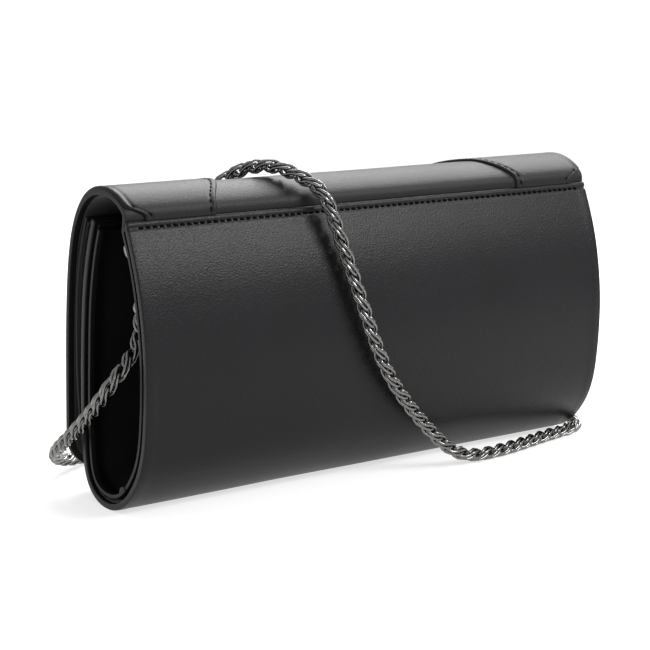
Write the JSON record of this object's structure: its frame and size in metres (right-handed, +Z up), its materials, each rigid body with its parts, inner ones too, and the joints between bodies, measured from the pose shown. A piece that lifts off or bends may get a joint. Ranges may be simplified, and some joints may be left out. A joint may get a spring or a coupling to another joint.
{
  "type": "evening bag",
  "caption": "Slim black leatherette clutch with a magnetic fold-over flap, folded end gussets, pockets and a detachable wheat-link metal chain strap.",
  "frame": {"origin": "on the surface the bag stands on, below the middle of the bag's box without its chain", "axes": "+X along the width to the right of someone facing the flap, -Y the front (flap) side, +Y the back, +Z up"},
  "size_m": [0.2912, 0.1549, 0.1498],
  "materials": {
    "body_leather": "fine-grained coated leatherette, satin",
    "flap_leather": "fine-grained coated leatherette, satin",
    "stiffener_board": "grey fibre board",
    "lining_cloth": "fine black woven lining",
    "gunmetal": "polished gunmetal plating",
    "snap_metal": "nickel-plated steel",
    "chain_metal": "polished gunmetal plating"
  },
  "bodies": {
    "root": {"back_board": "stiffener_board", "back_facing": "body_leather", "body_lining": "lining_cloth", "body_wrap": "body_leather", "bottom_board": "stiffener_board", "chain_back_run": "chain_metal", "chain_eye_left": "gunmetal", "chain_eye_right": "gunmetal", "chain_front_slack": "chain_metal", "chain_hinge_fold": "chain_metal", "chain_left_strand": "chain_metal", "chain_right_strand": "chain_metal", "flap_hinge_strip": "flap_leather", "front_board": "stiffener_board", "front_facing": "body_leather", "front_pocket_gusset_left": "body_leather", "front_pocket_gusset_right": "body_leather", "front_pocket_panel": "body_leather", "gusset_left": "body_leather", "gusset_right": "body_leather", "slip_pocket_panel": "lining_cloth", "snap_socket": "snap_metal", "snap_socket_washer": "snap_metal", "strap_tab_left": "body_leather", "strap_tab_right": "body_leather", "zip_pocket_panel": "lining_cloth", "zip_tapes": "lining_cloth", "zip_teeth": "gunmetal"},
    "flap": {"flap_leather": "flap_leather", "flap_board": "stiffener_board", "flap_lining": "lining_cloth", "flap_overlay_right": "flap_leather", "flap_overlay_left": "flap_leather", "snap_stud": "snap_metal", "snap_stud_washer": "snap_metal", "chain_flap_run": "chain_metal"},
    "zip_slider": {"zip_slider": "gunmetal"},
    "zip_pull": {"zip_pull": "gunmetal"},
    "strap_ring_right": {"strap_ring_right": "gunmetal"},
    "snap_hook_right": {"snap_hook_right": "gunmetal"},
    "hook_gate_right": {"hook_gate_right": "gunmetal"},
    "strap_ring_left": {"strap_ring_left": "gunmetal"},
    "snap_hook_left": {"snap_hook_left": "gunmetal"},
    "hook_gate_left": {"hook_gate_left": "gunmetal"}
  },
  "joints": [
    {"name": "flap_hinge", "type": "hinge", "parent": "root", "child": "flap", "pos_m": [0, 0.022, 0.1312], "axis": [-1, 0, 0], "range_deg": [0, 110], "deforming": ["chain_hinge_fold"]},
    {"name": "zip_slide", "type": "slide", "parent": "root", "child": "zip_slider", "axis": [1, 0, 0], "range_m": [0, 0.116]},
    {"name": "zip_pull_hinge", "type": "hinge", "parent": "zip_slider", "child": "zip_pull", "pos_m": [-0.0575, 0.021, 0.1], "axis": [0, 0, -1], "range_deg": [0, 160]},
    {"name": "strap_ring_hinge_right", "type": "hinge", "parent": "root", "child": "strap_ring_right", "pos_m": [0.121, 0.0135, 0.1175], "axis": [1, 0, 0], "range_deg": [-8, 8]},
    {"name": "snap_hook_swivel_right", "type": "hinge", "parent": "root", "child": "snap_hook_right", "pos_m": [0.121, 0.0135, 0.1], "axis": [0, 0, 1], "range_deg": [-15, 15]},
    {"name": "hook_gate_hinge_right", "type": "hinge", "parent": "snap_hook_right", "child": "hook_gate_right", "pos_m": [0.121, 0.0094, 0.106], "axis": [-1, 0, 0], "range_deg": [0, 12], "stiffness_Nm_per_rad": 0.004},
    {"name": "strap_ring_hinge_left", "type": "hinge", "parent": "root", "child": "strap_ring_left", "pos_m": [-0.121, 0.0135, 0.1175], "axis": [1, 0, 0], "range_deg": [-8, 8]},
    {"name": "snap_hook_swivel_left", "type": "hinge", "parent": "root", "child": "snap_hook_left", "pos_m": [-0.121, 0.0135, 0.1], "axis": [0, 0, 1], "range_deg": [-15, 15]},
    {"name": "hook_gate_hinge_left", "type": "hinge", "parent": "snap_hook_left", "child": "hook_gate_left", "pos_m": [-0.121, 0.0094, 0.106], "axis": [-1, 0, 0], "range_deg": [0, 12], "stiffness_Nm_per_rad": 0.004}
  ]
}
